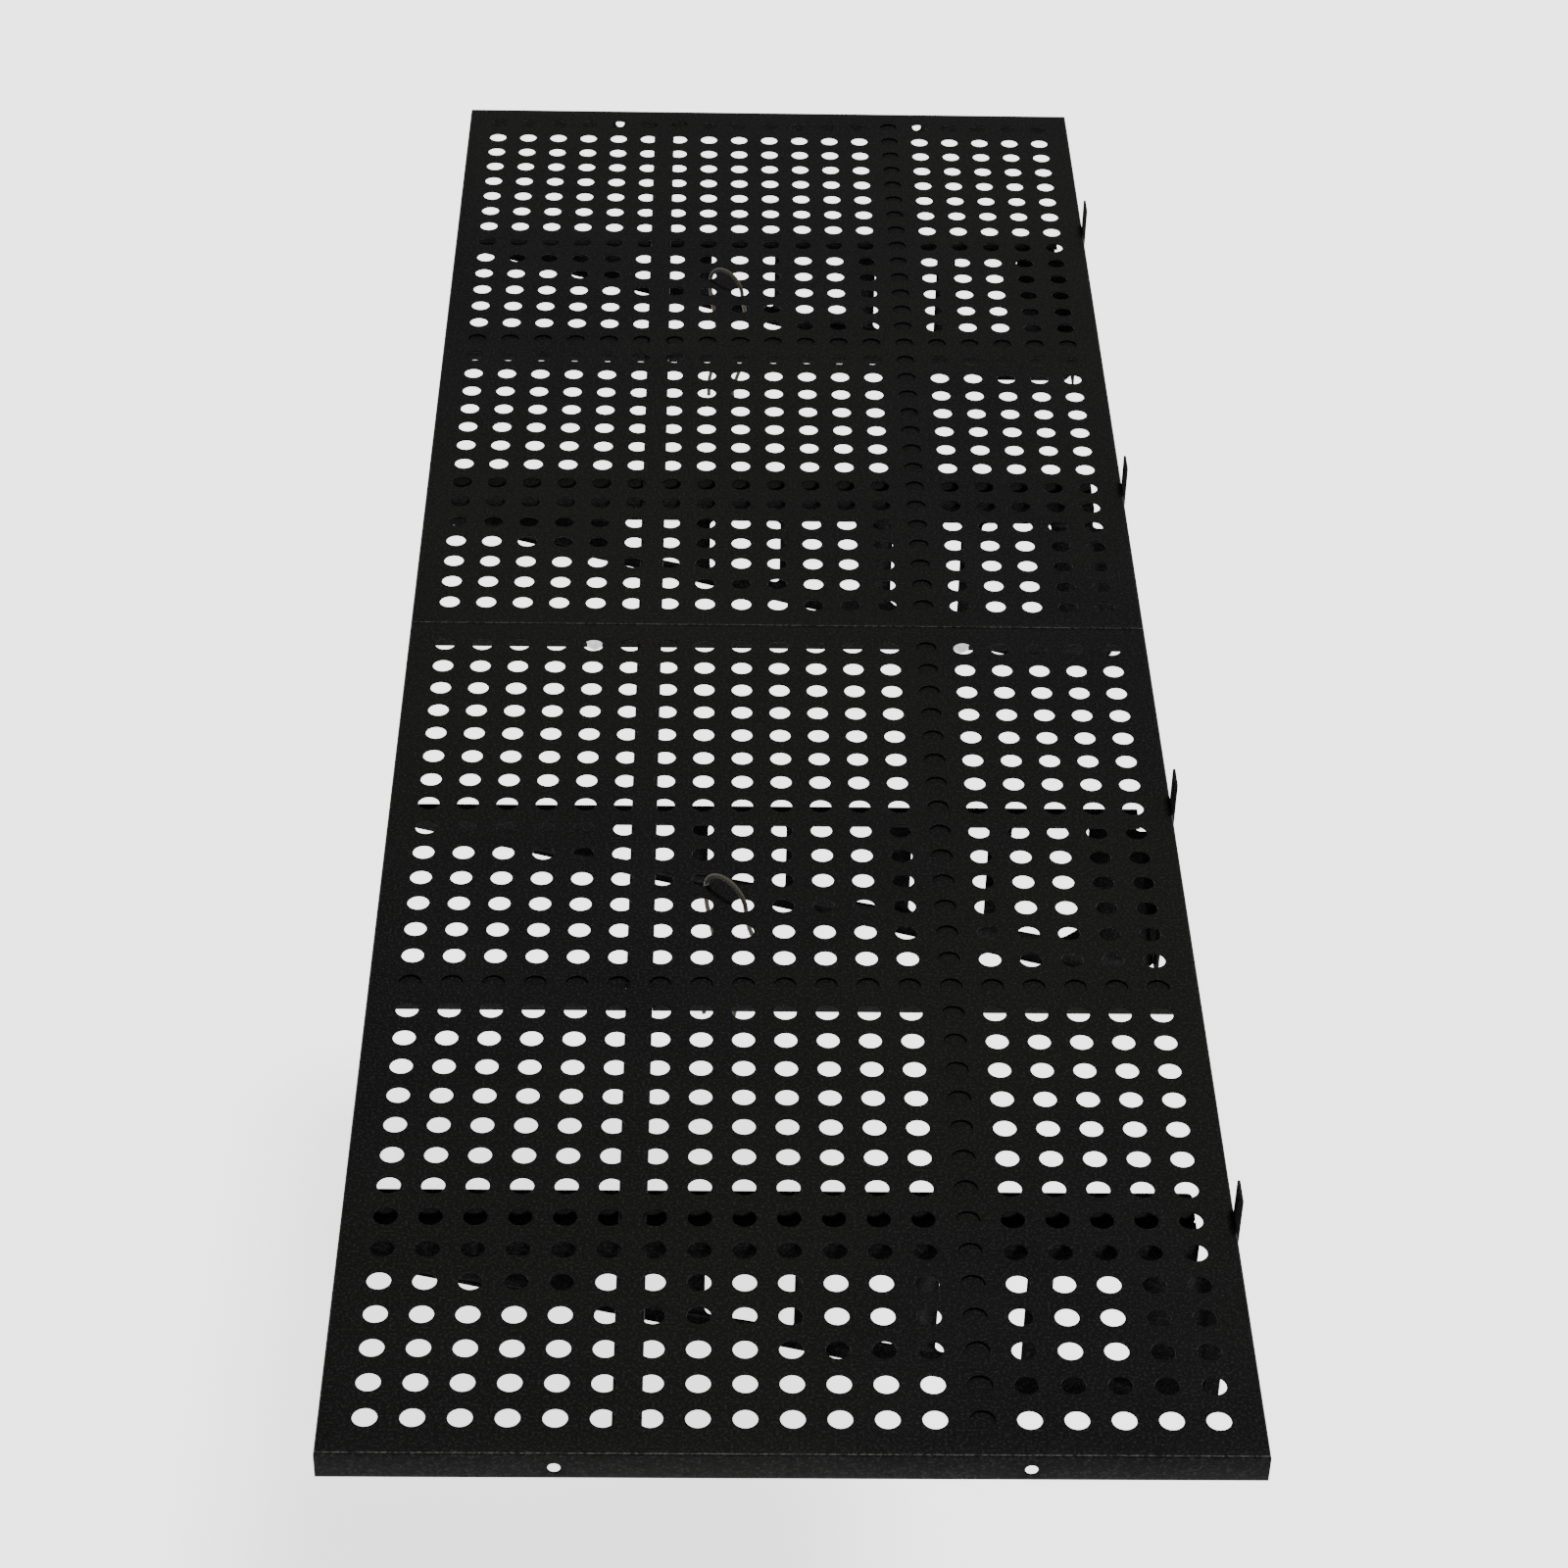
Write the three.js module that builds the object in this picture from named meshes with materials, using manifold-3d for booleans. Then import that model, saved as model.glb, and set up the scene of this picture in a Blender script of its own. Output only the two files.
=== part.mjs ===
// Perforated steel deck of two folded panels laid end to end, each on two windowed
// wall brackets. Millimetres. X runs from the free edge to the wall (wall plane x = 0),
// Y along the deck, Z up (deck face z = 0).
import * as THREE from "three";
import { mergeVertices } from "three/addons/utils/BufferGeometryUtils.js";
import Module from "manifold-3d";

const wasm = await Module();
wasm.setup();

// ---- driving dimensions ----
const PITCH = 25; // peg hole spacing both ways
const COLS = 19; // peg holes across the depth
const ROWS = 29; // peg holes along one panel
const HOLE_D = 13.5; // peg hole diameter
const PEG_SIDE = (HOLE_D / 2) * Math.sqrt(Math.PI); // square opening of the same area
const DEPTH = 500; // panel size from free edge to wall edge
const LENGTH = 750; // panel size along the wall
const SHEET = 1.2; // panel sheet thickness
const RIM = 19; // outside height of the folded rim
const GAP = 0.3; // clearance where two pieces meet
const SEAM_Y = 194; // where the two panels meet

const PLATE = 1.5; // bracket sheet thickness
const DECK_X1 = -(PLATE + GAP); // wall edge of the deck
const DECK_X0 = DECK_X1 - DEPTH; // free edge of the deck
const DECK_XC = (DECK_X0 + DECK_X1) / 2;

const STIFF_Z1 = -(SHEET + GAP); // top of the stiffeners
const STIFF_Z0 = -12.5; // underside of the stiffeners
const TUBE_WALL = 1.2;
const LEFT_X = DECK_XC - 87.5; // centre of the narrow stiffener
const LEFT_W = 16;
const RIGHT_X = DECK_XC + 100; // centre of the broad stiffener
const RIGHT_W = 30;
const CROSS_W = 22; // width of the middle cross stiffener

const FLANGE_Z1 = STIFF_Z0 - GAP; // top of the bracket flange
const FLANGE_Z0 = FLANGE_Z1 - PLATE;
const FLANGE_W = 19; // width of the bracket flange, web included
const FLANGE_X1 = DECK_X1 - 20; // the flanges and straps stop here, short of the wall rim
const WEB_TOP = -31; // top of the web from there to the wall
const EAR_W = 18; // width of the wall ear above the deck
const EAR_TOP = 21;
const EAR_HOLE_D = 5.5;
const EAR_HOLE_Z = 12.5;
const FOOT_Z = -147; // lowest edge of a bracket
const LOW_SCREW_Z = -128; // lower wall screw hole
const ARM_A_V = 181; // flange centre of the far bracket, from the panel centre
const ARM_B_V = -197.75; // flange centre of the near bracket
const STRAP_W = 23; // cross strap beside the near bracket
const STRAP_T = 1.5;

const BOLT_HOLE_D = 7; // seam bolt holes in the end rims
const BOLT_HOLE_X = 125; // from the panel's centre line
const BOLT_HOLE_Z = -11.7;
const BOLT_D = 6;
const HEX_AF = 10;
const CORD_D = 3;

const SEG = 6; // sides of small round holes and shanks

// ---- helpers ----
function solid(geometry) {
  const bare = new THREE.BufferGeometry();
  const flat = geometry.index ? geometry.toNonIndexed() : geometry;
  bare.setAttribute("position", flat.getAttribute("position"));
  const m = mergeVertices(bare, 1e-4);
  return new wasm.Manifold(
    new wasm.Mesh({
      numProp: 3,
      vertProperties: new Float32Array(m.attributes.position.array),
      triVerts: new Uint32Array(m.index.array),
    }),
  );
}

function geometryOf(manifold) {
  const m = manifold.getMesh();
  const g = new THREE.BufferGeometry();
  g.setAttribute("position", new THREE.BufferAttribute(new Float32Array(m.vertProperties), 3));
  g.setIndex(new THREE.BufferAttribute(new Uint32Array(m.triVerts), 1));
  const out = g.toNonIndexed();
  out.computeVertexNormals();
  return out;
}

function box(x0, x1, y0, y1, z0, z1) {
  const g = new THREE.BoxGeometry(x1 - x0, y1 - y0, z1 - z0);
  g.translate((x0 + x1) / 2, (y0 + y1) / 2, (z0 + z1) / 2);
  return g;
}

// Cylinder between two coordinates of one axis.
function rod(axis, r, a, b, p, q, sides = SEG) {
  const g = new THREE.CylinderGeometry(r, r, b - a, sides);
  const mid = (a + b) / 2;
  if (axis === "x") g.rotateZ(Math.PI / 2).translate(mid, p, q);
  if (axis === "y") g.translate(p, mid, q);
  if (axis === "z") g.rotateX(Math.PI / 2).translate(p, q, mid);
  return g;
}

const group = new THREE.Group();
group.name = "perforated_deck";
const COLORS = { coat: 0x17181a, bare: 0x8d9094, tie: 0x4b3f2a };

function add(name, geometry, kind = "coat") {
  const material = new THREE.MeshStandardMaterial({
    color: COLORS[kind],
    metalness: kind === "bare" ? 0.8 : 0.2,
    roughness: 0.6,
  });
  material.name = name;
  const mesh = new THREE.Mesh(geometry, material);
  mesh.name = name;
  group.add(mesh);
  return mesh;
}

// ---- panel: one sheet, perforated, with a rim folded down on all four sides ----
function panel(name, yc) {
  const y0 = yc - LENGTH / 2 + GAP / 2;
  const y1 = yc + LENGTH / 2 - GAP / 2;
  const pegs = [];
  const h = PEG_SIDE / 2;
  for (let r = 0; r < ROWS; r++)
    for (let c = 0; c < COLS; c++) {
      const x = DECK_XC + (c - (COLS - 1) / 2) * PITCH;
      const y = yc + ((ROWS - 1) / 2 - r) * PITCH;
      const s = new THREE.Shape();
      s.moveTo(x - h, y - h);
      s.lineTo(x + h, y - h);
      s.lineTo(x + h, y + h);
      s.lineTo(x - h, y + h);
      s.closePath();
      pegs.push(s);
    }
  const cut = new THREE.ExtrudeGeometry(pegs, { depth: SHEET + 4, bevelEnabled: false });
  cut.translate(0, 0, -SHEET - 2);
  let body = solid(box(DECK_X0, DECK_X1, y0, y1, -RIM, 0))
    .subtract(solid(box(DECK_X0 + SHEET, DECK_X1 - SHEET, y0 + SHEET, y1 - SHEET, -RIM - 2, -SHEET)))
    .subtract(solid(cut));
  for (const sx of [-1, 1])
    for (const [a, b] of [[y0 - 2, y0 + 4], [y1 - 4, y1 + 2]])
      body = body.subtract(
        solid(rod("y", BOLT_HOLE_D / 2, a, b, DECK_XC + sx * BOLT_HOLE_X, BOLT_HOLE_Z)),
      );
  add(name, geometryOf(body));
}

// ---- lengthwise stiffener: open-ended box tube with a screw hole over each bracket ----
function stiffener(name, xc, width, yc) {
  const y0 = yc - LENGTH / 2 + SHEET + 3;
  const y1 = yc + LENGTH / 2 - SHEET - 3;
  const w = width / 2;
  let body = solid(box(xc - w, xc + w, y0, y1, STIFF_Z0, STIFF_Z1)).subtract(
    solid(box(xc - w + TUBE_WALL, xc + w - TUBE_WALL, y0 - 5, y1 + 5,
      STIFF_Z0 + TUBE_WALL, STIFF_Z1 - TUBE_WALL)),
  );
  for (const v of [ARM_A_V, ARM_B_V])
    body = body.subtract(
      solid(rod("z", BOLT_D / 2 + GAP, STIFF_Z0 - 2, STIFF_Z0 + TUBE_WALL + 2, xc, yc + v)),
    );
  add(name, geometryOf(body));
}

// ---- middle cross stiffener: a channel in three lengths between rim and stiffeners ----
function crossChannel(name, x0, x1, yc) {
  const w = CROSS_W / 2;
  const body = solid(box(x0, x1, yc - w, yc + w, STIFF_Z0, STIFF_Z1)).subtract(
    solid(box(x0 - 5, x1 + 5, yc - w + TUBE_WALL, yc + w - TUBE_WALL,
      STIFF_Z0 - 5, STIFF_Z1 - TUBE_WALL)),
  );
  add(name, geometryOf(body));
}

// ---- bracket: web with windows, top flange, wall flange and ear, folded from one sheet ----
const colX = (c) => DECK_XC + (c - (COLS - 1) / 2) * PITCH;
const WINDOWS = [[4.5, 6.53], [7.13, 9.16], [9.76, 11.82], [12.42, 14.41], [15.0, 17.0]];
const lowerEdge = (x) => -PITCH * (1.58 + 0.272 * ((x - colX(0.74)) / PITCH));
const memberTop = (x) => -PITCH * (2.51 + 0.223 * ((x - colX(5.88)) / PITCH));
const WINDOW_TOP = -26.5;
const LAST_CHAMFER = 12; // lower wall-side corner of the last window

function bracket(name, flangeY, webSide) {
  const yWeb = flangeY + (webSide * FLANGE_W) / 2; // outer face of the web
  const yIn = yWeb - webSide * PLATE;
  const [w0, w1] = [Math.min(yWeb, yIn), Math.max(yWeb, yIn)];
  const [f0, f1] = [flangeY - FLANGE_W / 2, flangeY + FLANGE_W / 2];
  const xa = DECK_X0 + SHEET + GAP;
  const xFoot = colX(0.74) + ((FOOT_Z / -PITCH - 1.58) / 0.272) * PITCH;
  const s = new THREE.Shape();
  s.moveTo(xa, FLANGE_Z1);
  s.lineTo(xa, lowerEdge(xa));
  s.lineTo(xFoot, FOOT_Z);
  s.lineTo(-6, FOOT_Z);
  s.lineTo(0, FOOT_Z + 6);
  s.lineTo(0, WEB_TOP);
  s.lineTo(FLANGE_X1, WEB_TOP);
  s.lineTo(FLANGE_X1, FLANGE_Z1);
  s.closePath();
  for (const [c0, c1] of WINDOWS) {
    const [a, b] = [colX(c0), colX(c1)];
    const hole = new THREE.Path();
    hole.moveTo(a, WINDOW_TOP);
    hole.lineTo(b, WINDOW_TOP);
    if (c1 > 16) {
      hole.lineTo(b, memberTop(b) + LAST_CHAMFER);
      hole.lineTo(b - LAST_CHAMFER, memberTop(b - LAST_CHAMFER));
    } else hole.lineTo(b, memberTop(b));
    hole.lineTo(a, memberTop(a));
    hole.closePath();
    s.holes.push(hole);
  }
  const web = new THREE.ExtrudeGeometry(s, { depth: PLATE, bevelEnabled: false });
  web.rotateX(Math.PI / 2); // shape in XZ, thickness from y = -PLATE to 0
  web.translate(0, w1, 0);
  let body = solid(web).add(solid(box(xa, FLANGE_X1, f0, f1, FLANGE_Z0, FLANGE_Z1)));
  body = body.add(solid(box(-PLATE, 0, f0, f1, FOOT_Z + 6, WEB_TOP)));
  const e = EAR_W / 2;
  body = body.add(solid(box(-PLATE, 0, flangeY - e, flangeY + e, WEB_TOP - 1, EAR_TOP)));
  for (const z of [EAR_HOLE_Z, LOW_SCREW_Z])
    body = body.subtract(solid(rod("x", EAR_HOLE_D / 2, -PLATE - 2, 2, flangeY, z)));
  for (const x of [LEFT_X, RIGHT_X])
    body = body.subtract(
      solid(rod("z", BOLT_D / 2 + GAP, FLANGE_Z0 - 2, FLANGE_Z1 + 2, x, flangeY)),
    );
  add(name, geometryOf(body));
}

// ---- fasteners ----
const HEX_R = HEX_AF / Math.sqrt(3);

// Hex screw along +axis from the underside of its head.
function screwGeometry(axis, dir, face, shank, head, p, q) {
  const [h0, h1] = dir > 0 ? [face - head, face] : [face, face + head];
  const [s0, s1] = dir > 0 ? [face - 0.5, face + shank] : [face - shank, face + 0.5];
  return geometryOf(
    solid(rod(axis, HEX_R, h0, h1, p, q, 6)).add(solid(rod(axis, BOLT_D / 2, s0, s1, p, q))),
  );
}

function ringGeometry(axis, rOut, rIn, a, b, p, q, sides) {
  return geometryOf(
    solid(rod(axis, rOut, a, b, p, q, sides)).subtract(
      solid(rod(axis, rIn, a - 1, b + 1, p, q)),
    ),
  );
}

// ---- tie: a length of cord looped over the land between two peg holes ----
const TIE_SIDE = [2, -3.8]; // the legs stand off the hole centres by this much in X and Y
const TIE_BASE = -3; // height where the loop turns into its two tails
const TIE_RISE = 15.8; // height of the loop above that
const TIE_TAILS = [-107, -102]; // lowest points of the tails
const TIE_DROPS = [0, 0.13, 0.3, 0.5, 0.7, 0.88]; // shares of a tail, from its end
const TIE_SWAY = [ // wander of each tail there, towards the wall
  [-0.5, -0.2, 3.5, 6.8, 3.8, 0.6],
  [-4.5, -6.8, -2.6, 5, 7.3, 2],
];
function tie(name, yc) {
  const A = new THREE.Vector3(colX(7) + TIE_SIDE[0], yc + 4 * PITCH + TIE_SIDE[1], 0);
  const B = new THREE.Vector3(colX(8) + TIE_SIDE[0], yc + 3 * PITCH + TIE_SIDE[1], 0);
  const u = B.clone().sub(A).normalize();
  const M = A.clone().add(B).multiplyScalar(0.5);
  const r = A.distanceTo(B) / 2;
  const tail = (from, k) =>
    TIE_DROPS.map((d, i) => new THREE.Vector3(from.x + TIE_SWAY[k][i], from.y,
      TIE_TAILS[k] + d * (TIE_BASE - TIE_TAILS[k])));
  const loop = [];
  for (let i = 0; i <= 8; i++) {
    const a = Math.PI * (1 - i / 8);
    const height = TIE_BASE + TIE_RISE * Math.sin(a);
    loop.push(M.clone().addScaledVector(u, r * Math.cos(a)).setZ(height));
  }
  const points = [...tail(A, 0), ...loop, ...tail(B, 1).reverse()];
  const curve = new THREE.CatmullRomCurve3(points, false, "centripetal");
  const section = new THREE.Shape();
  for (let i = 0; i < 8; i++) {
    const a = (i / 8) * Math.PI * 2;
    const [px, py] = [(Math.cos(a) * CORD_D) / 2, (Math.sin(a) * CORD_D) / 2];
    if (i) section.lineTo(px, py);
    else section.moveTo(px, py);
  }
  section.closePath();
  add(name, new THREE.ExtrudeGeometry(section, {
    steps: 34, extrudePath: curve, bevelEnabled: false,
  }), "tie");
}

// ---- the two panels and what each carries ----
for (const [side, yc] of [["near", SEAM_Y - LENGTH / 2], ["far", SEAM_Y + LENGTH / 2]]) {
  panel(`${side}_panel`, yc);
  stiffener(`${side}_stiffener_narrow`, LEFT_X, LEFT_W, yc);
  stiffener(`${side}_stiffener_broad`, RIGHT_X, RIGHT_W, yc);
  const xs = [
    ["outer", DECK_X0 + SHEET + GAP, LEFT_X - LEFT_W / 2 - GAP],
    ["middle", LEFT_X + LEFT_W / 2 + GAP, RIGHT_X - RIGHT_W / 2 - GAP],
    ["wall", RIGHT_X + RIGHT_W / 2 + GAP, DECK_X1 - SHEET - GAP],
  ];
  for (const [where, x0, x1] of xs) crossChannel(`${side}_cross_channel_${where}`, x0, x1, yc);
  const strapY1 = yc + ARM_B_V + FLANGE_W / 2 + 0.5;
  add(`${side}_cross_strap`,
    box(DECK_X0 + SHEET + GAP, FLANGE_X1, strapY1, strapY1 + STRAP_W,
      FLANGE_Z1 - STRAP_T, FLANGE_Z1));
  bracket(`${side}_bracket_a`, yc + ARM_A_V, 1);
  bracket(`${side}_bracket_b`, yc + ARM_B_V, -1);
  for (const [arm, v] of [["a", ARM_A_V], ["b", ARM_B_V]])
    for (const [where, x] of [["outer", LEFT_X], ["wall", RIGHT_X]])
      add(`${side}_bracket_${arm}_screw_${where}`,
        screwGeometry("z", 1, FLANGE_Z0 - GAP, 8, 4, x, yc + v), "bare");
  tie(`${side}_tie`, yc);
}

// ---- seam: two bolts through the end rims, a washer each side and a nut ----
const SEAM_FACE = GAP / 2 + SHEET; // inner face of an end rim, from the seam
for (const [where, sx] of [["outer", -1], ["wall", 1]]) {
  const x = DECK_XC + sx * BOLT_HOLE_X;
  const z = BOLT_HOLE_Z;
  const a = SEAM_Y - SEAM_FACE - GAP; // washer under the head
  add(`seam_washer_head_${where}`, ringGeometry("y", 6, 3.4, a - 1.2, a, x, z, 8), "bare");
  add(`seam_bolt_${where}`, screwGeometry("y", 1, a - 1.2 - GAP, 16, 4, x, z), "bare");
  const b = SEAM_Y + SEAM_FACE + GAP;
  add(`seam_washer_nut_${where}`, ringGeometry("y", 6, 3.4, b, b + 1.2, x, z, 8), "bare");
  add(`seam_nut_${where}`,
    ringGeometry("y", HEX_R, 3.4, b + 1.2 + GAP, b + 6.2 + GAP, x, z, 6), "bare");
}

export default group;
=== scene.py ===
"""Perforated steel wall shelf: two folded, perforated panels end to end on windowed wall brackets.

Metres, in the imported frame: +X towards the wall (wall plane x = 0), +Y along the deck,
+Z up (deck face z = 0).
"""

import math

import bmesh
import bpy
import numpy as np
from mathutils import Matrix, Vector


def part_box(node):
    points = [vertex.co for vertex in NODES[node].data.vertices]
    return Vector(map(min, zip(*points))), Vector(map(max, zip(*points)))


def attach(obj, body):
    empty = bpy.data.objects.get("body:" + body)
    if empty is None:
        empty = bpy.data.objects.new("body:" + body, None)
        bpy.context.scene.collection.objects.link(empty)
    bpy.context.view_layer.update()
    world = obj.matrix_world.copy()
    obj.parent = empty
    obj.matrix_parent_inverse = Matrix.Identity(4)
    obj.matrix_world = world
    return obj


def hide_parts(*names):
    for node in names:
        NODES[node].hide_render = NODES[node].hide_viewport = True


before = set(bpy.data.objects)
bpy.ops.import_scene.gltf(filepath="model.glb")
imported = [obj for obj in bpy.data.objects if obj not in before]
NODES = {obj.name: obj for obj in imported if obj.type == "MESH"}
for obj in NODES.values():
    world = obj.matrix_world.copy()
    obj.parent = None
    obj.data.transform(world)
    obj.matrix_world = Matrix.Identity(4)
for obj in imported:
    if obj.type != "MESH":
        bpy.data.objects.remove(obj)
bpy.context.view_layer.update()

MM = 0.001
PITCH = 25 * MM
COLS, ROWS = 19, 29
HOLE_R = 6.75 * MM
SHEET = 1.2 * MM
RIM = 19 * MM
BEND_R = 2.2 * MM  # outside radius of a panel's bends
BOLT_Z = -11.7 * MM
BOLT_R = 3.5 * MM
PLATE = 1.5 * MM
FLANGE_Z1 = -12.8 * MM
EAR_TOP = 21 * MM
WALL_HOLE_R = 2.75 * MM
WALL_HOLE_Z = (12.5 * MM, -128 * MM)  # in the ear, and low in the wall flange
SCREW_HOLE_R = 3.3 * MM  # where a bracket screw passes through flange and stiffener
SHARP = math.radians(50)
SIDES = ("near", "far")


def centre_of(node):
    lo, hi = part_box(node)
    return (Vector(lo) + Vector(hi)) / 2


DECK_XC = centre_of("near_panel").x
DECK_YC = {s: centre_of(s + "_panel").y for s in SIDES}
STIFFENER_X = [centre_of("near_stiffener_" + w).x for w in ("narrow", "broad")]


def col_x(c):
    return DECK_XC + (c - (COLS - 1) / 2) * PITCH


# ---------------------------------------------------------------- camera
CAMERA_AT = (-0.301, -1.869, 1.451)
CAMERA_PITCH, CAMERA_YAW, CAMERA_ROLL = math.radians(37.57), math.radians(1.55), math.radians(1.42)
CAMERA_LENS = 84.9


def make_camera():
    data = bpy.data.cameras.new("camera")
    data.lens = CAMERA_LENS
    data.sensor_width = 36.0
    data.clip_start, data.clip_end = 0.01, 100.0
    cam = bpy.data.objects.new("camera", data)
    bpy.context.scene.collection.objects.link(cam)
    look = Vector((
        math.sin(CAMERA_YAW) * math.cos(CAMERA_PITCH),
        math.cos(CAMERA_YAW) * math.cos(CAMERA_PITCH),
        -math.sin(CAMERA_PITCH),
    ))
    turn = look.to_track_quat("-Z", "Y").to_matrix().to_4x4()
    roll = Matrix.Rotation(CAMERA_ROLL, 4, "Z")
    cam.matrix_world = Matrix.Translation(CAMERA_AT) @ turn @ roll
    bpy.context.scene.camera = cam


make_camera()


# ---------------------------------------------------------------- mesh helpers
def make_object(name, verts, faces, material, smooth=math.radians(40)):
    mesh = bpy.data.meshes.new(name)
    mesh.from_pydata([tuple(v) for v in verts], [], faces)
    mesh.validate()
    return finish_mesh(name, mesh, material, smooth)


def finish_mesh(name, mesh, material, smooth=math.radians(40)):
    bm = bmesh.new()
    bm.from_mesh(mesh)
    bmesh.ops.recalc_face_normals(bm, faces=bm.faces)
    bm.to_mesh(mesh)
    bm.free()
    mesh.polygons.foreach_set("use_smooth", [True] * len(mesh.polygons))
    mesh.set_sharp_from_angle(angle=smooth)
    mesh.materials.clear()
    mesh.materials.append(material)
    obj = bpy.data.objects.new(name, mesh)
    bpy.context.scene.collection.objects.link(obj)
    return obj


def stand_in(obj, node):
    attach(obj, "root")
    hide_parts(node)


def merged(verts, faces, digits=7):
    """The same mesh with vertices at one place joined, and faces that collapse dropped."""
    keys = np.round(np.asarray(verts), digits)
    _, first, index = np.unique(keys, axis=0, return_index=True, return_inverse=True)
    index = index.reshape(-1)
    out = []
    for f in faces:
        g = [int(index[i]) for i in f]
        g = [a for i, a in enumerate(g) if a != g[i - 1]]
        if len(g) > 2:
            out.append(g)
    return np.asarray(verts)[first], out


# ---------------------------------------------------------------- materials
def new_material(name):
    m = bpy.data.materials.new(name)
    m.use_nodes = True
    nt = m.node_tree
    nt.nodes.clear()
    out = nt.nodes.new("ShaderNodeOutputMaterial")
    bsdf = nt.nodes.new("ShaderNodeBsdfPrincipled")
    nt.links.new(bsdf.outputs[0], out.inputs["Surface"])
    coord = nt.nodes.new("ShaderNodeTexCoord")
    return m, nt, bsdf, coord.outputs["Object"]


def noise(nt, vector, scale, detail=2.0, rough=0.5, distortion=0.0):
    n = nt.nodes.new("ShaderNodeTexNoise")
    n.inputs["Scale"].default_value = scale
    n.inputs["Detail"].default_value = detail
    n.inputs["Roughness"].default_value = rough
    n.inputs["Distortion"].default_value = distortion
    nt.links.new(vector, n.inputs["Vector"])
    return n.outputs["Fac"]


def ramp(nt, value, stops):
    r = nt.nodes.new("ShaderNodeValToRGB")
    e = r.color_ramp.elements
    while len(e) < len(stops):
        e.new(0.5)
    for el, (pos, col) in zip(e, stops):
        el.position = pos
        el.color = (*col, 1) if len(col) == 3 else col
    nt.links.new(value, r.inputs["Fac"])
    return r.outputs["Color"]


def grey_ramp(nt, value, stops):
    return ramp(nt, value, [(p, (v, v, v)) for p, v in stops])


def math_node(nt, op, a, b):
    n = nt.nodes.new("ShaderNodeMath")
    n.operation = op
    for i, v in enumerate((a, b)):
        if isinstance(v, (int, float)):
            n.inputs[i].default_value = v
        else:
            nt.links.new(v, n.inputs[i])
    return n.outputs[0]


def mix_colour(nt, factor, a, b):
    n = nt.nodes.new("ShaderNodeMix")
    n.data_type = "RGBA"
    if isinstance(factor, (int, float)):
        n.inputs["Factor"].default_value = factor
    else:
        nt.links.new(factor, n.inputs["Factor"])
    for key, v in (("A", a), ("B", b)):
        socket = [s for s in n.inputs if s.name == key and s.type == "RGBA"][0]
        if isinstance(v, tuple):
            socket.default_value = (*v, 1)
        else:
            nt.links.new(v, socket)
    return [s for s in n.outputs if s.type == "RGBA"][0]


def bump(nt, height, strength, distance, normal=None):
    b = nt.nodes.new("ShaderNodeBump")
    b.inputs["Strength"].default_value = strength
    b.inputs["Distance"].default_value = distance
    nt.links.new(height, b.inputs["Height"])
    if normal is not None:
        nt.links.new(normal, b.inputs["Normal"])
    return b.outputs["Normal"]


def powder_coat(name, dark, light, grain, rough, warm=(0.0, 0.0, 0.0)):
    """Black textured powder coat: orange peel, fine sand grain with specks lightened as painted glints,
    faint mottling, dust, and a painted highlight along the bends.
    """
    m, nt, bsdf, co = new_material(name)
    mottle = noise(nt, co, 14.0, 4.0, 0.6)
    body = ramp(nt, mottle, [(0.3, dark), (0.72, light)])
    drift = grey_ramp(nt, noise(nt, co, 2.3, 2.0, 0.5), [(0.35, 0.0), (0.75, 1.0)])
    body = mix_colour(nt, drift, body, tuple(c + w for c, w in zip(light, warm)))
    sand = noise(nt, co, 1.0 / grain, 2.0, 0.6)
    # light specks of the sand grain, brightened as painted glints on the grain
    grain_glint_specks = grey_ramp(nt, sand, [(0.50, 0.0), (0.72, 1.0)])
    body = mix_colour(nt, grain_glint_specks, body, tuple(c * 3.2 + 0.0035 for c in light))
    dust = grey_ramp(nt, noise(nt, co, 60.0, 6.0, 0.75, 0.6), [(0.60, 0.0), (0.8, 0.4)])
    body = mix_colour(nt, dust, body, tuple(c * 2.6 + 0.004 for c in light))
    # painted highlight: the crest of each bend is painted lighter in sparkling flecks where light would
    # glint on it
    bend_highlight = nt.nodes.new("ShaderNodeAttribute")
    bend_highlight.attribute_name = "bend"
    sparkle = grey_ramp(nt, noise(nt, co, 0.7 / grain, 3.0, 0.7), [(0.42, 0.1), (0.62, 1.0)])
    painted_bend_highlight = math_node(nt, "MULTIPLY", bend_highlight.outputs["Fac"], sparkle)
    body = mix_colour(nt, painted_bend_highlight, body, (0.075, 0.075, 0.072))
    nt.links.new(body, bsdf.inputs["Base Color"])
    rough_map = grey_ramp(nt, noise(nt, co, 180.0, 4.0, 0.6), [(0.3, rough - 0.07), (0.7, rough + 0.08)])
    nt.links.new(rough_map, bsdf.inputs["Roughness"])
    bsdf.inputs["Specular IOR Level"].default_value = 0.03
    peel = nt.nodes.new("ShaderNodeTexVoronoi")
    peel.feature = "SMOOTH_F1"
    peel.inputs["Scale"].default_value = 0.55 / grain
    peel.inputs["Smoothness"].default_value = 0.8
    nt.links.new(co, peel.inputs["Vector"])
    n1 = bump(nt, noise(nt, co, 5.0, 1.0), 0.25, 0.0012)
    n2 = bump(nt, peel.outputs["Distance"], 0.45, grain * 0.16, n1)
    n3 = bump(nt, sand, 0.7, grain * 0.11, n2)
    nt.links.new(n3, bsdf.inputs["Normal"])
    return m


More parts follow.
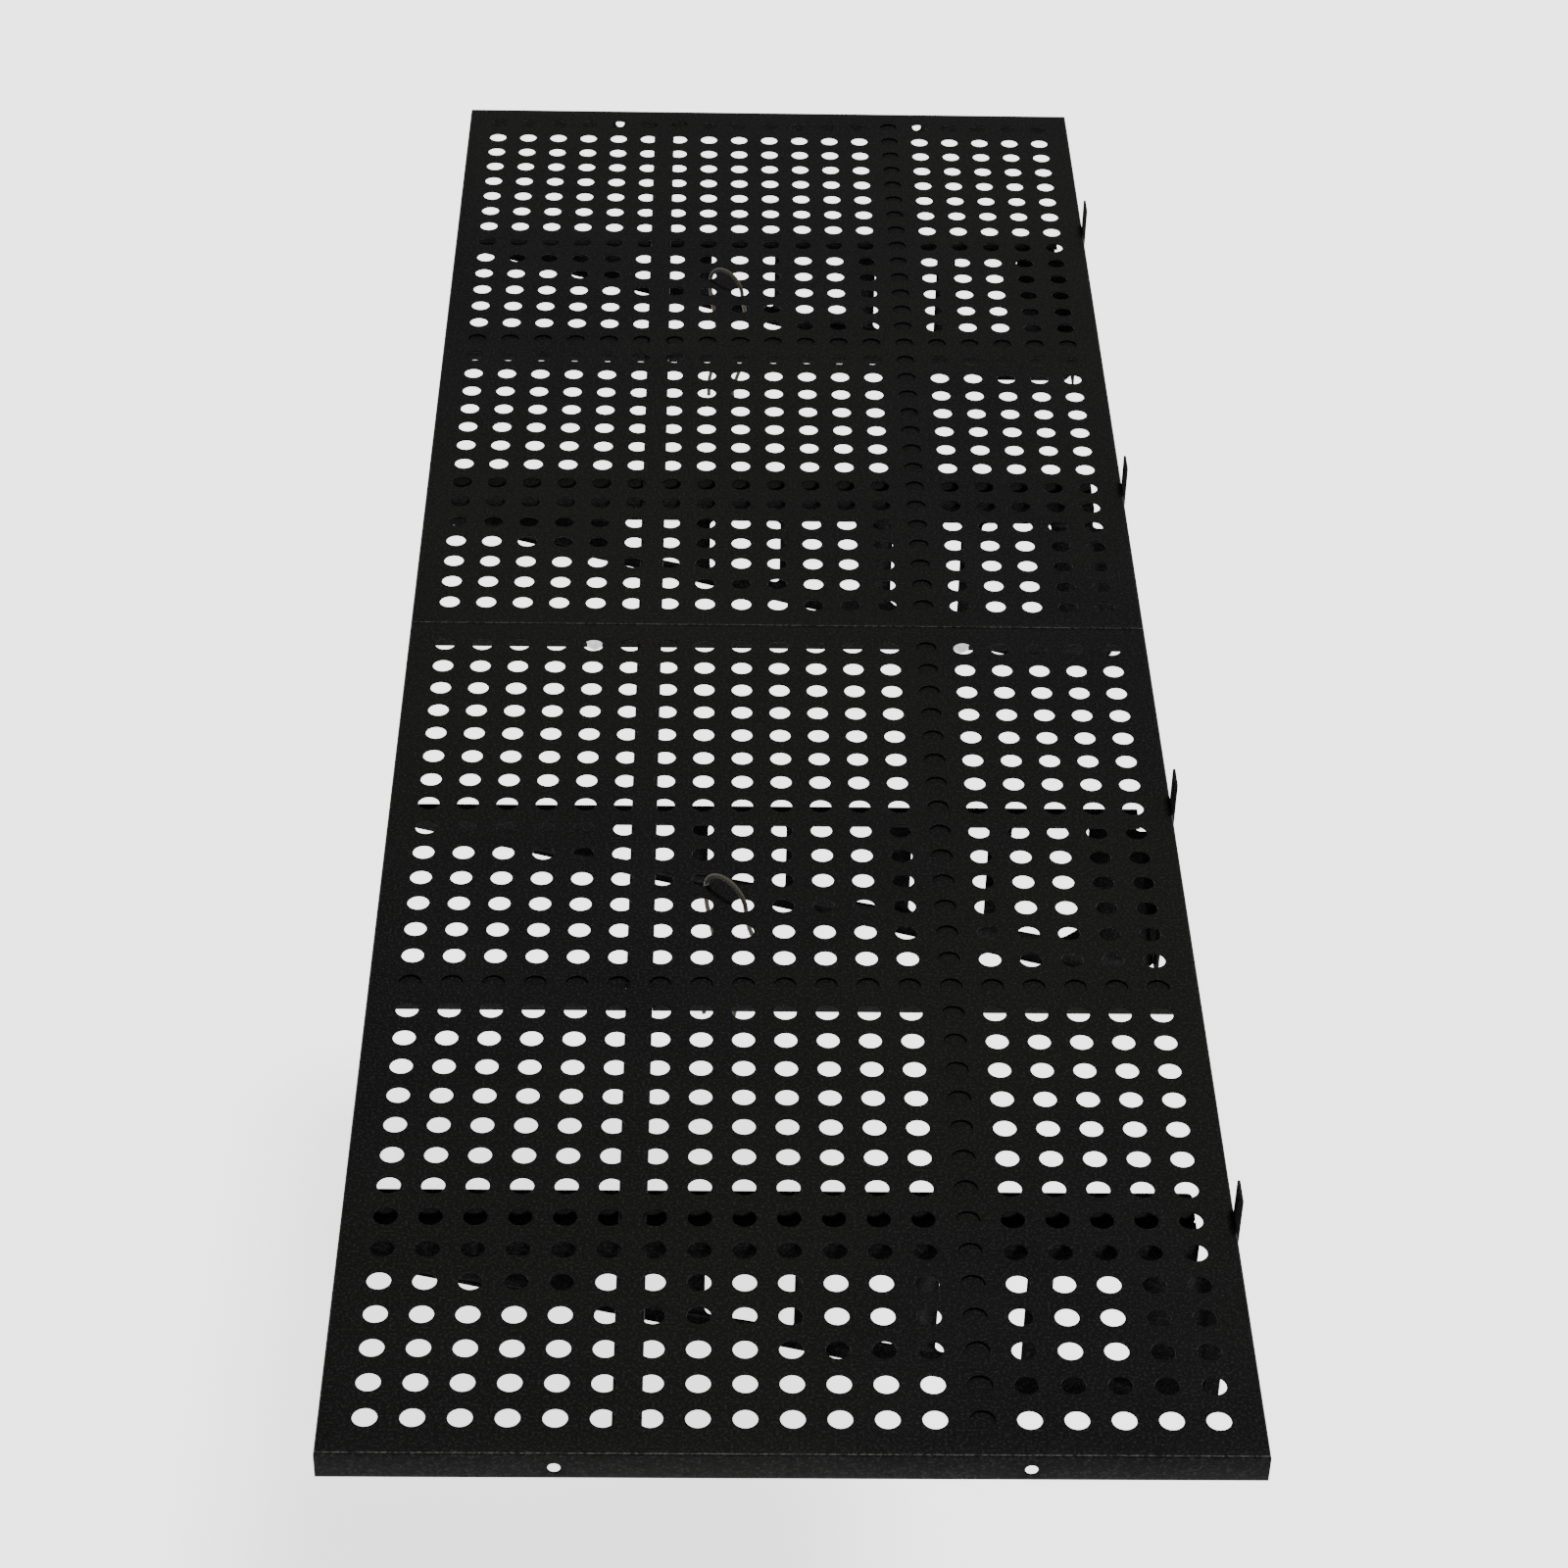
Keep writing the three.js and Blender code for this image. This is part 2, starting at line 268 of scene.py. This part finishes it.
def zinc_plate(name):
    m, nt, bsdf, co = new_material(name)
    tone = noise(nt, co, 260.0, 5.0, 0.7)
    nt.links.new(ramp(nt, tone, [(0.3, (0.30, 0.31, 0.32)), (0.7, (0.55, 0.55, 0.53))]),
                 bsdf.inputs["Base Color"])
    nt.links.new(grey_ramp(nt, noise(nt, co, 900.0, 3.0), [(0.3, 0.28), (0.7, 0.5)]),
                 bsdf.inputs["Roughness"])
    bsdf.inputs["Metallic"].default_value = 0.95
    nt.links.new(bump(nt, noise(nt, co, 1500.0, 3.0, 0.7), 0.35, 0.00008), bsdf.inputs["Normal"])
    return m


def braided_cord(name):
    m, nt, bsdf, co = new_material(name)
    attr = nt.nodes.new("ShaderNodeAttribute")
    attr.attribute_name = "valley"
    fuzz = noise(nt, co, 2600.0, 3.0, 0.7)
    strand = ramp(nt, fuzz, [(0.3, (0.019, 0.015, 0.007)), (0.7, (0.052, 0.042, 0.019))])
    # painted shade: the valleys between the cord's strands are darkened
    shaded = mix_colour(nt, attr.outputs["Fac"], strand, (0.006, 0.005, 0.003))
    nt.links.new(shaded, bsdf.inputs["Base Color"])
    nt.links.new(grey_ramp(nt, fuzz, [(0.3, 0.72), (0.7, 0.92)]), bsdf.inputs["Roughness"])
    bsdf.inputs["Specular IOR Level"].default_value = 0.25
    bsdf.inputs["Sheen Weight"].default_value = 0.25
    nt.links.new(bump(nt, fuzz, 0.6, 0.00012), bsdf.inputs["Normal"])
    return m


COAT_PANEL = powder_coat("coat_panel", (0.0015, 0.0015, 0.0016), (0.0029, 0.0029, 0.0029),
                         1.6 * MM, 0.55, (0.0009, 0.0009, 0.0000))
# the brackets wear the panels' black coat painted about 1.5 times lighter: painted light on webs that sit
# in the deck's shade
COAT_BRACKET_PAINTED_LIGHTER = powder_coat("coat_bracket", (0.0024, 0.0024, 0.0025), (0.0042, 0.0042, 0.0043),
                           1.2 * MM, 0.52)
ZINC = zinc_plate("plated_steel")
CORD = braided_cord("tie_cord")


# ---------------------------------------------------------------- ties
TIE_D = 3 * MM
TIE_SIDE = (2 * MM, -3.8 * MM)
TIE_BASE = -3 * MM
TIE_RISE = 15.8 * MM
TIE_TAILS = (-107 * MM, -102 * MM)
TIE_DROPS = (0, 0.13, 0.3, 0.5, 0.7, 0.88)
TIE_SWAY = ((-0.5, -0.2, 3.5, 6.8, 3.8, 0.6), (-4.5, -6.8, -2.6, 5, 7.3, 2))  # millimetres


def tie_route(yc):
    a = Vector((col_x(7) + TIE_SIDE[0], yc + 4 * PITCH + TIE_SIDE[1], 0))
    b = Vector((col_x(8) + TIE_SIDE[0], yc + 3 * PITCH + TIE_SIDE[1], 0))
    u = (b - a).normalized()
    side = Vector((-u.y, u.x, 0))
    mid = (a + b) / 2
    r = (b - a).length / 2

    def at(along, across, z):
        p = mid + u * along + side * across
        return Vector((p.x, p.y, z))

    def tail(start, z0, sway):
        return [Vector((start.x + s * MM, start.y, z0 + d * (TIE_BASE - z0)))
                for d, s in zip(TIE_DROPS, sway)]

    loop = [at(r * math.cos(t), 0, TIE_BASE + TIE_RISE * math.sin(t))
            for t in (math.pi * (1 - i / 8) for i in range(9))]
    return tail(a, TIE_TAILS[0], TIE_SWAY[0]) + loop + tail(b, TIE_TAILS[1], TIE_SWAY[1])[::-1]


def centripetal(points, per=14):
    """A smooth line through the points: centripetal Catmull-Rom."""
    p = [2 * points[0] - points[1]] + list(points) + [2 * points[-1] - points[-2]]
    out = []
    for i in range(1, len(p) - 2):
        t = [0.0]
        for k in range(3):
            t.append(t[-1] + math.sqrt((p[i + k] - p[i + k - 1]).length))
        for j in range(per):
            s = t[1] + (t[2] - t[1]) * j / per
            a = [p[i - 1 + k] * ((t[k + 1] - s) / (t[k + 1] - t[k]))
                 + p[i + k] * ((s - t[k]) / (t[k + 1] - t[k])) for k in range(3)]
            b = [a[k] * ((t[k + 2] - s) / (t[k + 2] - t[k]))
                 + a[k + 1] * ((s - t[k]) / (t[k + 2] - t[k])) for k in range(2)]
            out.append(b[0] * ((t[2] - s) / (t[2] - t[1])) + b[1] * ((s - t[1]) / (t[2] - t[1])))
    return out + [points[-1]]


def make_tie(side_name):
    line = centripetal(tie_route(DECK_YC[side_name]))
    around, strands, lay = 24, 3, 7.5 * MM
    verts, faces, valley = [], [], []
    normal = Vector((1, 0, 0))
    run = 0.0
    for i, p in enumerate(line):
        tangent = (line[min(i + 1, len(line) - 1)] - line[max(i - 1, 0)]).normalized()
        normal = (normal - tangent * normal.dot(tangent)).normalized()
        across = tangent.cross(normal)
        run += (p - line[i - 1]).length if i else 0.0
        for k in range(around):
            phi = 2 * math.pi * k / around
            lobe = abs(math.cos(strands / 2 * (phi - 2 * math.pi * run / lay)))
            r = TIE_D / 2 * (0.80 + 0.20 * lobe ** 0.7)
            verts.append(p + normal * (r * math.cos(phi)) + across * (r * math.sin(phi)))
            # how deep in a valley between strands each point lies, for the painted shade there
            valley.append(1 - lobe ** 0.6)
    rings = len(line)
    for i in range(rings - 1):
        for k in range(around):
            a, b = i * around + k, i * around + (k + 1) % around
            faces.append((a, b, b + around, a + around))
    faces.append(tuple(range(around))[::-1])
    faces.append(tuple((rings - 1) * around + k for k in range(around)))
    obj = make_object(side_name + "_tie_cord", verts, faces, CORD, math.radians(60))
    attr = obj.data.attributes.new("valley", "FLOAT", "POINT")
    attr.data.foreach_set("value", valley)
    stand_in(obj, side_name + "_tie")


for s in SIDES:
    make_tie(s)


# ---------------------------------------------------------------- perforated panels
CELL_SEGMENTS = 24
HALF = PITCH / 2
STEPS = [HALF * math.tan(math.radians(a)) for a in range(-45, 46, 360 // CELL_SEGMENTS)]


def square_ring():
    """Points of a cell's square outline, one for each direction of the hole's ring."""
    ring = []
    for k in range(CELL_SEGMENTS):
        a = 2 * math.pi * k / CELL_SEGMENTS
        c, s = math.cos(a), math.sin(a)
        q = HALF / max(abs(c), abs(s))
        ring.append((c * q, s * q))
    return ring


def circle_ring(r, n=CELL_SEGMENTS):
    return [(r * math.cos(2 * math.pi * k / n), r * math.sin(2 * math.pi * k / n)) for k in range(n)]


def cell_template():
    e = 0.34 * MM
    rings = [(square_ring(), 0.0)]
    rings += [(circle_ring(HOLE_R + w), z) for w, z in (
        (e * 2.0, 0.0), (e, 0.0), (e * 0.29, -e * 0.29), (0.0, -e),
        (0.0, -SHEET + e * 0.8), (e * 0.8, -SHEET))]
    rings += [(square_ring(), -SHEET)]
    verts = np.array([(x, y, z) for ring, z in rings for x, y in ring])
    n = CELL_SEGMENTS
    faces = [(i * n + k, i * n + (k + 1) % n, (i + 1) * n + (k + 1) % n, (i + 1) * n + k)
             for i in range(len(rings) - 1) for k in range(n)]
    return verts, faces


def stations(centre, cells):
    """The points that the cells share with the plain margin along one side."""
    out = []
    for c in range(cells):
        mid = centre + (c - (cells - 1) / 2) * PITCH
        out += [mid + s for s in STEPS[:-1]]
    return out + [centre + cells * HALF]


def flap_profile():
    """Outer and inner points of a bend and its rim, as (inset from the outer face, z)."""
    outer, inner = [], []
    ri = BEND_R - SHEET
    for k in range(7):
        a = math.radians(15 * k)
        outer.append((BEND_R - BEND_R * math.sin(a), -BEND_R + BEND_R * math.cos(a)))
        inner.append((BEND_R - ri * math.sin(a), -BEND_R + ri * math.cos(a)))
    e = 0.35 * MM
    outer += [(0, -RIM + e), (e * 0.29, -RIM + e * 0.29), (e, -RIM)]
    inner += [(SHEET, -RIM + e), (SHEET - e * 0.29, -RIM + e * 0.29), (SHEET - e, -RIM)]
    return outer, inner


ARC_END = 6  # profile point where the bend ends and the rim begins
BOLT_COLS = (4, 14)  # the peg columns that the end rims' bolt holes line up with


class Builder:
    def __init__(self):
        self.verts, self.faces = [], []

    def add(self, p):
        self.verts.append(tuple(p))
        return len(self.verts) - 1

    def quad(self, *points):
        self.faces.append([self.add(p) for p in points])

    def strip(self, a, b):
        """Quads between two lines of points."""
        for i in range(len(a) - 1):
            self.quad(a[i], a[i + 1], b[i + 1], b[i])


def rim_hole(out, place, line, depth, z1, z0):
    """The flat patch of an end rim across a line of stations, with its bolt hole."""
    n = CELL_SEGMENTS
    s0, s1 = line[0], line[-1]
    mid = (s0 + s1) / 2
    ring = [(mid + x, BOLT_Z + z) for x, z in circle_ring(BOLT_R + 0.3 * MM)]
    p = [place(s, depth, z) for s, z in ring]
    for side, z in ((1, z1), (-1, z0)):
        arc = [k for k in range(n) if (ring[k][1] - BOLT_Z) * side >= abs(ring[k][0] - mid) * 0.999]
        arc.sort(key=lambda k: ring[k][0])
        for i in range(len(line) - 1):
            out.quad(p[arc[i]], p[arc[i + 1]], place(line[i + 1], depth, z), place(line[i], depth, z))
    for side, edge in ((1, s1), (-1, s0)):
        arc = [k for k in range(n) if (ring[k][0] - mid) * side >= abs(ring[k][1] - BOLT_Z) * 0.999]
        arc.sort(key=lambda k: ring[k][1])
        low, top = place(edge, depth, z0), place(edge, depth, z1)
        half = len(arc) // 2
        for i in range(len(arc) - 1):
            out.quad(p[arc[i]], p[arc[i + 1]], low if i < half else top)
        out.quad(p[arc[half]], top, low)


def make_panel(side_name):
    node = side_name + "_panel"
    (x0, y0, _), (x1, y1, _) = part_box(node)
    xc, yc = DECK_XC, DECK_YC[side_name]
    cell_v, cell_f = cell_template()
    out = Builder()
    verts = []
    for r in range(ROWS):
        for c in range(COLS):
            base = len(verts) * len(cell_v)
            verts.append(cell_v + (xc + (c - (COLS - 1) / 2) * PITCH, yc + ((ROWS - 1) / 2 - r) * PITCH, 0))
            out.faces += [tuple(k + base for k in f) for f in cell_f]
    out.verts = [tuple(v) for v in np.concatenate(verts)]
    xs, ys = stations(xc, COLS), stations(yc, ROWS)
    edge_x, edge_y = (x0 + BEND_R, x1 - BEND_R), (y0 + BEND_R, y1 - BEND_R)
    for z in (0.0, -SHEET):
        for end, x in zip(edge_x, (xs[0], xs[-1])):
            out.strip([(end, y, z) for y in ys], [(x, y, z) for y in ys])
        for end, y in zip(edge_y, (ys[0], ys[-1])):
            line = [edge_x[0]] + xs + [edge_x[1]]
            out.strip([(x, end, z) for x in line], [(x, y, z) for x in line])

    places = {
        "x0": lambda s, d, z: (x0 + d, s, z), "x1": lambda s, d, z: (x1 - d, s, z),
        "y0": lambda s, d, z: (s, y0 + d, z), "y1": lambda s, d, z: (s, y1 - d, z),
    }

    def line_of(end, depth):
        """Stations of one rim at a depth in from its outer face, mitred at the corners."""
        if end[0] == "x":
            return [y0 + depth] + ys + [y1 - depth]
        return [x0 + depth] + xs + [x1 - depth]

    outer, inner = flap_profile()
    last = len(outer) - 1
    per_cell = len(STEPS) - 1
    for end, place in places.items():
        holes = []
        if end[0] == "y":
            holes = [(1 + c * per_cell, 1 + (c + 1) * per_cell) for c in BOLT_COLS]

        def row(point):
            return [place(s, *point) for s in line_of(end, point[0])]

        for prof in (outer, inner):
            for j in range(last):
                a, b = row(prof[j]), row(prof[j + 1])
                cuts = holes if j == ARC_END else []
                start = 0
                for h0, h1 in cuts:
                    out.strip(a[start:h0 + 1], b[start:h0 + 1])
                    start = h1
                    rim_hole(out, place, line_of(end, prof[j][0])[h0:h1 + 1], prof[j][0],
                             prof[j][1], prof[j + 1][1])
                out.strip(a[start:], b[start:])
        out.strip(row(outer[last]), row(inner[last]))
        for h0, h1 in holes:
            line = line_of(end, 0.0)
            mid = (line[h0] + line[h1]) / 2
            rings = [[(mid + x, d, BOLT_Z + z) for x, z in circle_ring(BOLT_R + w)]
                     for w, d in ((0.3 * MM, 0.0), (0.0, 0.3 * MM), (0.0, SHEET - 0.3 * MM),
                                  (0.3 * MM, SHEET))]
            for r0, r1 in zip(rings, rings[1:]):
                out.strip([place(*q) for q in r0 + r0[:1]], [place(*q) for q in r1 + r1[:1]])
    verts, faces = merged(out.verts, out.faces)
    obj = make_object(side_name + "_perforated_panel", verts, faces, COAT_PANEL)
    bend_highlight = obj.data.attributes.new("bend", "FLOAT", "POINT")
    # mask of the painted bend highlight: the crest of every bend, full on the front bend that faces the
    # camera, faint on the others
    for v, w in zip(obj.data.vertices, bend_highlight.data):
        inset = min(v.co.x - x0, x1 - v.co.x, v.co.y - y0, y1 - v.co.y)
        if 0.2 < inset / BEND_R < 0.4 and -0.4 < v.co.z / BEND_R < -0.2:
            w.value = 1.0 if v.co.y - y0 < BEND_R else 0.2
    stand_in(obj, node)
    return obj


# ---------------------------------------------------------------- pieces refined from the CAD solids
def welded(node):
    """A copy of a CAD node's mesh with its corners joined and its flat faces whole."""
    bm = bmesh.new()
    bm.from_mesh(NODES[node].data)
    bmesh.ops.remove_doubles(bm, verts=bm.verts, dist=1e-6)
    flatten(bm)
    return bm


def flatten(bm):
    bmesh.ops.dissolve_limit(bm, angle_limit=math.radians(0.6), verts=bm.verts, edges=bm.edges)


def cut_round(bm, drills):
    """Cuts round holes: (axis, radius, start, end, p, q)."""
    mesh = bpy.data.meshes.new("cut")
    bm.to_mesh(mesh)
    bm.free()
    body = bpy.data.objects.new("cut", mesh)
    bpy.context.scene.collection.objects.link(body)
    tool_mesh = bpy.data.meshes.new("tool")
    tool = bmesh.new()
    for axis, r, a, b, p, q in drills:
        turn = {"x": Matrix.Rotation(math.pi / 2, 4, "Y"), "y": Matrix.Rotation(math.pi / 2, 4, "X"),
                "z": Matrix.Identity(4)}[axis]
        mid = (a + b) / 2
        place = {"x": (mid, p, q), "y": (p, mid, q), "z": (p, q, mid)}[axis]
        bmesh.ops.create_cone(tool, cap_ends=True, segments=28, radius1=r, radius2=r, depth=b - a,
                              matrix=Matrix.Translation(place) @ turn)
    tool.to_mesh(tool_mesh)
    tool.free()
    cutter = bpy.data.objects.new("tool", tool_mesh)
    bpy.context.scene.collection.objects.link(cutter)
    mod = body.modifiers.new("cut", "BOOLEAN")
    mod.operation, mod.object, mod.solver = "DIFFERENCE", cutter, "EXACT"
    graph = bpy.context.evaluated_depsgraph_get()
    result = bpy.data.meshes.new_from_object(body.evaluated_get(graph))
    out = bmesh.new()
    out.from_mesh(result)
    bpy.data.objects.remove(body)
    bpy.data.objects.remove(cutter)
    for m in (mesh, tool_mesh, result):
        bpy.data.meshes.remove(m)
    bmesh.ops.remove_doubles(out, verts=out.verts, dist=1e-6)
    flatten(out)
    return out


def bevel(bm, test, offset, segments):
    edges = [e for e in bm.edges if len(e.link_faces) == 2 and e.calc_face_angle(0) > 0.3 and test(e)]
    if edges:
        bmesh.ops.bevel(bm, geom=edges, offset=offset, offset_type="OFFSET", segments=segments,
                        profile=0.5, affect="EDGES", clamp_overlap=True)


def runs_along(e, axis):
    d = e.verts[1].co - e.verts[0].co
    return d.length > 1e-6 and abs(d[axis]) > 0.999 * d.length


def lies_at(e, axis, value, tol=2e-5):
    return all(abs(v.co[axis] - value) < tol for v in e.verts)


def refine(node, bm, name, material):
    mesh = bpy.data.meshes.new(name)
    bm.to_mesh(mesh)
    bm.free()
    obj = finish_mesh(name, mesh, material)
    stand_in(obj, node)
    return obj


def make_bracket(node, mirrored):
    lo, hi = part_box(node)
    y_mid = (lo[1] + hi[1]) / 2
    y_web = lo[1] if mirrored else hi[1]
    y_in = y_web + (PLATE if mirrored else -PLATE)
    drills = [("x", WALL_HOLE_R, -6 * MM, 4 * MM, y_mid, z) for z in WALL_HOLE_Z]
    drills += [("z", SCREW_HOLE_R, -20 * MM, -8 * MM, x, y_mid) for x in STIFFENER_X]
    bm = cut_round(welded(node), drills)
    # the two folds: outside radius, then inside radius
    bevel(bm, lambda e: (runs_along(e, 0) and lies_at(e, 1, y_web) and lies_at(e, 2, FLANGE_Z1))
          or (runs_along(e, 2) and lies_at(e, 0, 0.0) and lies_at(e, 1, y_web)), 2.3 * MM, 5)
    bevel(bm, lambda e: (runs_along(e, 0) and lies_at(e, 1, y_in) and lies_at(e, 2, FLANGE_Z1 - PLATE))
          or (runs_along(e, 2) and lies_at(e, 0, -PLATE) and lies_at(e, 1, y_in)), 0.8 * MM, 3)
    # corners of the windows and of the web's outline, through the plate
    span = PLATE * 0.9

    def through_web(e):
        d = e.verts[1].co - e.verts[0].co
        mid = (e.verts[0].co + e.verts[1].co) / 2
        return (runs_along(e, 1) and d.length > span and mid.x < -20 * MM
                and mid.z < -26.3 * MM and e.calc_face_angle(0) > math.radians(12))

    bevel(bm, through_web, 4.0 * MM, 4)
    bevel(bm, lambda e: runs_along(e, 0) and lies_at(e, 2, EAR_TOP), 0.8 * MM, 3)
    bevel(bm, lambda e: e.calc_face_angle(0) > math.radians(38) and e.calc_length() > 0.2 * MM,
          0.3 * MM, 2)
    refine(node, bm, node + "_folded", COAT_BRACKET_PAINTED_LIGHTER)


def make_tube(node, wall=1.2 * MM, corner=2.0 * MM):
    """Box-section stiffener with rolled corners, open ends and a round hole over each bracket screw."""
    lo, hi = Vector(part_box(node)[0]), Vector(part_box(node)[1])
    mid = (lo + hi) / 2
    side = node.split("_")[0]
    brackets = [centre_of(f"{side}_bracket_{arm}").y for arm in "ab"]
    bm = cut_round(welded(node), [
        ("z", SCREW_HOLE_R, lo.z - 3 * MM, lo.z + wall + 3 * MM, mid.x, y) for y in brackets])
    bevel(bm, lambda e: runs_along(e, 1) and (lies_at(e, 0, lo.x) or lies_at(e, 0, hi.x)), corner, 4)
    bevel(bm, lambda e: runs_along(e, 1) and e.calc_face_angle(0) > 1.2, corner - wall, 3)
    bevel(bm, lambda e: e.calc_face_angle(0) > SHARP, 0.2 * MM, 1)
    refine(node, bm, node + "_section", COAT_PANEL)


def make_channel(node, corner=2.0 * MM):
    lo, hi = Vector(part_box(node)[0]), Vector(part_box(node)[1])
    bm = welded(node)
    bevel(bm, lambda e: runs_along(e, 0) and lies_at(e, 2, hi.z), corner, 4)
    bevel(bm, lambda e: runs_along(e, 0) and lies_at(e, 2, hi.z - 1.2 * MM), 0.8 * MM, 3)
    bevel(bm, lambda e: e.calc_face_angle(0) > SHARP, 0.2 * MM, 1)
    close_up = 0.27 * MM  # how far both ends reach out: almost to a stiffener, or into the rim's bend
    for v in bm.verts:
        for end, out in ((lo.x, -1), (hi.x, 1)):
            if abs(v.co.x - end) < 0.25 * MM:
                v.co.x += out * close_up
    refine(node, bm, node + "_section", COAT_PANEL)


def make_strap(node):
    bm = welded(node)
    bevel(bm, lambda e: runs_along(e, 2), 3.0 * MM, 4)
    bevel(bm, lambda e: e.calc_face_angle(0) > SHARP, 0.35 * MM, 2)
    refine(node, bm, node + "_bar", COAT_PANEL)


# ---------------------------------------------------------------- fasteners
HEX_AF = 10 * MM


def revolve(name, node, place, profile, sides=48):
    """A closed turned piece. profile: (radius, height) points, or functions of the angle for a hex."""
    verts, faces = [], []
    for k in range(sides):
        a = 2 * math.pi * k / sides
        for r, h in profile:
            rr = r(a) if callable(r) else r
            hh = h(a) if callable(h) else h
            verts.append(place(rr * math.cos(a), rr * math.sin(a), hh))
    n = len(profile)
    for k in range(sides):
        q = (k + 1) % sides
        for j in range(n):
            i = (j + 1) % n
            faces.append((k * n + j, q * n + j, q * n + i, k * n + i))
    verts, faces = merged(verts, faces)
    obj = make_object(name, verts, faces, ZINC, math.radians(28))
    stand_in(obj, node)


def hex_radius(a):
    return HEX_AF / 2 / math.cos((a + math.pi / 6) % (math.pi / 3) - math.pi / 6)


def hex_face(height, towards):
    """Height of a hex's edge where its 30 degree chamfer cuts it."""
    slope = math.tan(math.radians(30))
    return lambda a: height - towards * slope * max(0.0, hex_radius(a) - HEX_AF / 2 * 0.97)


def thread(r, start, end, pitch=1.0 * MM, depth=0.45 * MM):
    out = []
    count = max(1, int(abs(end - start) / pitch))
    step = (end - start) / count
    for i in range(count):
        out += [(r, start + step * (i + 0.1)), (r, start + step * (i + 0.35)),
                (r - depth, start + step * (i + 0.6)), (r - depth, start + step * (i + 0.85))]
    return out


def make_screw(node, place, head, shank, plain=1.5 * MM):
    """Hex screw: its head's underside is at height 0 and its shank points to +height."""
    r = 3 * MM
    profile = [(0.0, -head), (1.6 * MM, -head + 0.25 * MM), (2.6 * MM, -head),
               (HEX_AF / 2 * 0.97, -head), (hex_radius, hex_face(-head, -1)),
               (hex_radius, -0.25 * MM), (HEX_AF / 2 * 0.96, 0.0), (r, 0.0), (r, plain)]
    profile += thread(r, plain, shank - 0.8 * MM)
    profile += [(r - 0.5 * MM, shank - 0.5 * MM), (r - 1.0 * MM, shank), (0.0, shank)]
    revolve(node + "_turned", node, place, profile)


def make_washer(node, place, thickness=1.2 * MM, outer=6 * MM, inner=3.3 * MM, e=0.2 * MM):
    revolve(node + "_turned", node, place, [
        (inner, e), (inner + e, 0), (outer - e, 0), (outer, e), (outer, thickness - e),
        (outer - e, thickness), (inner + e, thickness), (inner, thickness - e)])


def make_nut(node, place, thickness=5 * MM, r=3.1 * MM):
    profile = [(r + 0.5 * MM, 0.0), (HEX_AF / 2 * 0.97, 0.0), (hex_radius, hex_face(0.0, -1)),
               (hex_radius, hex_face(thickness, 1)), (HEX_AF / 2 * 0.97, thickness),
               (r + 0.5 * MM, thickness)]
    profile += thread(r + 0.35 * MM, thickness - 0.4 * MM, 0.4 * MM, depth=0.35 * MM)
    revolve(node + "_turned", node, place, profile)


# ---------------------------------------------------------------- everything in its place
for s in SIDES:
    make_panel(s)
    make_bracket(s + "_bracket_a", False)
    make_bracket(s + "_bracket_b", True)
    for width in ("narrow", "broad"):
        make_tube(f"{s}_stiffener_{width}")
    for part in ("outer", "middle", "wall"):
        make_channel(f"{s}_cross_channel_{part}")
    make_strap(s + "_cross_strap")
    for arm in "ab":
        for where in ("outer", "wall"):
            node = f"{s}_bracket_{arm}_screw_{where}"
            c, lo = centre_of(node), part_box(node)[0]
            base = lo[2] + 4 * MM
            make_screw(node, lambda x, y, h, c=c, base=base: (c.x + x, c.y + y, base + h),
                       4 * MM, 8 * MM)

for where in ("outer", "wall"):
    for kind in ("washer_head", "bolt", "washer_nut", "nut"):
        node = f"seam_{kind}_{where}"
        c, lo = centre_of(node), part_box(node)[0]
        if kind == "bolt":
            base = lo[1] + 4 * MM
            make_screw(node, lambda x, z, h, c=c, base=base: (c.x + x, base + h, c.z + z),
                       4 * MM, 16 * MM)
        else:
            base = lo[1]
            place = lambda x, z, h, c=c, base=base: (c.x + x, base + h, c.z + z)
            (make_nut if kind == "nut" else make_washer)(node, place)


# ---------------------------------------------------------------- floor and light
FLOOR_Z = -0.9
FLOOR_GLOW = 1.6
WORLD_GLOW = 0.6


def make_floor():
    bm = bmesh.new()
    bmesh.ops.create_grid(bm, x_segments=8, y_segments=8, size=30)
    mesh = bpy.data.meshes.new("floor")
    bm.to_mesh(mesh)
    bm.free()
    floor = bpy.data.objects.new("floor", mesh)
    floor.location = (0, 0, FLOOR_Z)
    bpy.context.scene.collection.objects.link(floor)
    m = bpy.data.materials.new("floor")
    m.use_nodes = True
    bsdf = m.node_tree.nodes["Principled BSDF"]
    bsdf.inputs["Base Color"].default_value = (0.9, 0.9, 0.9, 1)
    bsdf.inputs["Roughness"].default_value = 0.9
    bsdf.inputs["Specular IOR Level"].default_value = 0.0
    bsdf.inputs["Emission Color"].default_value = (1, 1, 1, 1)
    bsdf.inputs["Emission Strength"].default_value = FLOOR_GLOW
    mesh.materials.append(m)


def sun_light(name, direction, strength, angle):
    data = bpy.data.lights.new(name, "SUN")
    data.energy, data.angle = strength, math.radians(angle)
    light = bpy.data.objects.new(name, data)
    light.rotation_mode = "QUATERNION"
    light.rotation_quaternion = Vector(direction).to_track_quat("-Z", "Y")
    bpy.context.scene.collection.objects.link(light)


make_floor()
sun_light("key", (-0.19, -0.24, -0.95), 4.0, 9)
sun_light("fill", (0.2, 0.5, -0.84), 0.3, 40)
world = bpy.data.worlds.new("studio")
world.use_nodes = True
world.node_tree.nodes["Background"].inputs["Color"].default_value = (1, 1, 1, 1)
world.node_tree.nodes["Background"].inputs["Strength"].default_value = WORLD_GLOW
bpy.context.scene.world = world
